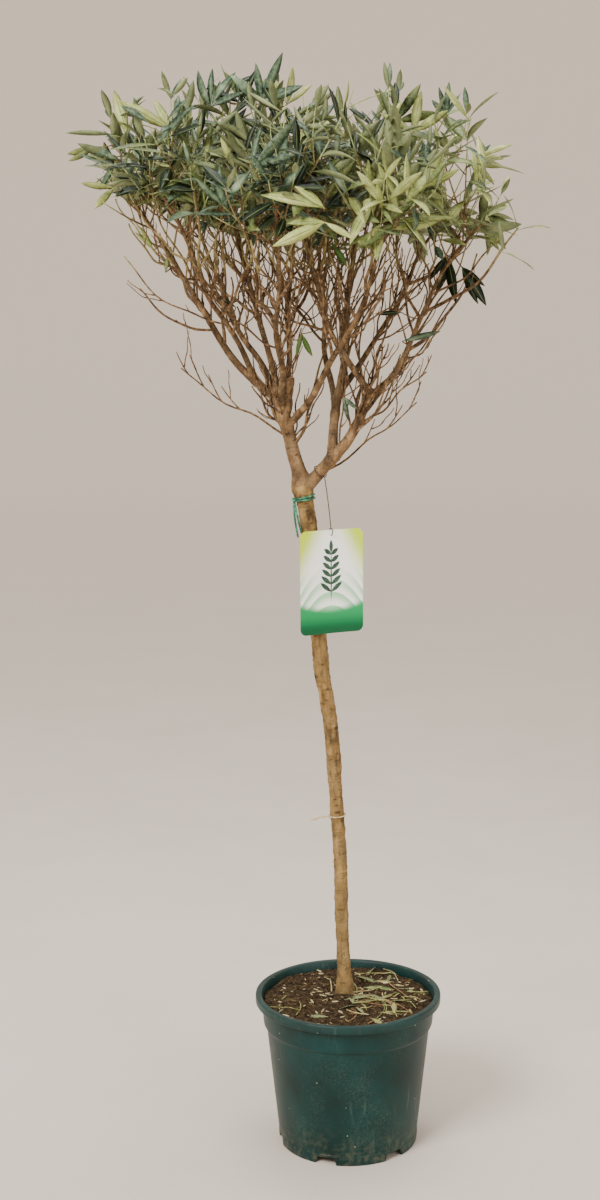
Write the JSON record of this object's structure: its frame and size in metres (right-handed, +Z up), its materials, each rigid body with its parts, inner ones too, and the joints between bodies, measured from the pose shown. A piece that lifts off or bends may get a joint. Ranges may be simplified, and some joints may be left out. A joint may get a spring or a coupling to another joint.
{
  "type": "potted olive tree",
  "caption": "Young olive tree grown as a standard: a bare trunk in a round nursery pot, slender ascending boughs and a wide flat-topped crown of narrow leaves, with a hanging card.",
  "frame": {"origin": "middle of the pot's flat underside", "axes": "+Z up along the trunk, +X to the right and +Y away from the viewer of the picture"},
  "size_m": [0.6482, 0.6715, 1.5229],
  "materials": {
    "pot_plastic": "dark green-teal moulded plastic, half matt, scuffed and dusty",
    "compost": "dark crumbly compost with chips and fallen leaves",
    "bark": "tan-brown smooth bark with dark knots and scars",
    "twig_bark": "thin brown bark",
    "leaves": "leathery grey-green leaves, pale sage beneath",
    "tie_plastic": "green plastic-coated wire",
    "string": "pale straw-coloured string",
    "card": "printed plastic card in yellow-green, white and green",
    "thread": "fine pale thread"
  },
  "bodies": {
    "root": {"bough_crossing": "bark", "bough_far_left": "bark", "bough_far_right": "bark", "bough_front": "bark", "bough_front_inner": "bark", "bough_left_front": "bark", "bough_left_inner": "bark", "bough_left_rear": "bark", "bough_rear": "bark", "bough_rear_inner": "bark", "bough_right_inner": "bark", "bough_right_rear": "bark", "card": "card", "card_thread": "thread", "cut_leader": "bark", "foliage_crossing": "leaves", "foliage_far_left": "leaves", "foliage_far_right": "leaves", "foliage_front": "leaves", "foliage_front_inner": "leaves", "foliage_left_front": "leaves", "foliage_left_inner": "leaves", "foliage_left_rear": "leaves", "foliage_rear": "leaves", "foliage_rear_inner": "leaves", "foliage_right_inner": "leaves", "foliage_right_rear": "leaves", "leader_left": "bark", "leader_right": "bark", "pot": "pot_plastic", "soil": "compost", "string": "string", "tie": "tie_plastic", "trunk": "bark", "twig_low_left": "twig_bark", "twig_low_right": "twig_bark", "twig_mid_right": "twig_bark"}
  },
  "joints": []
}
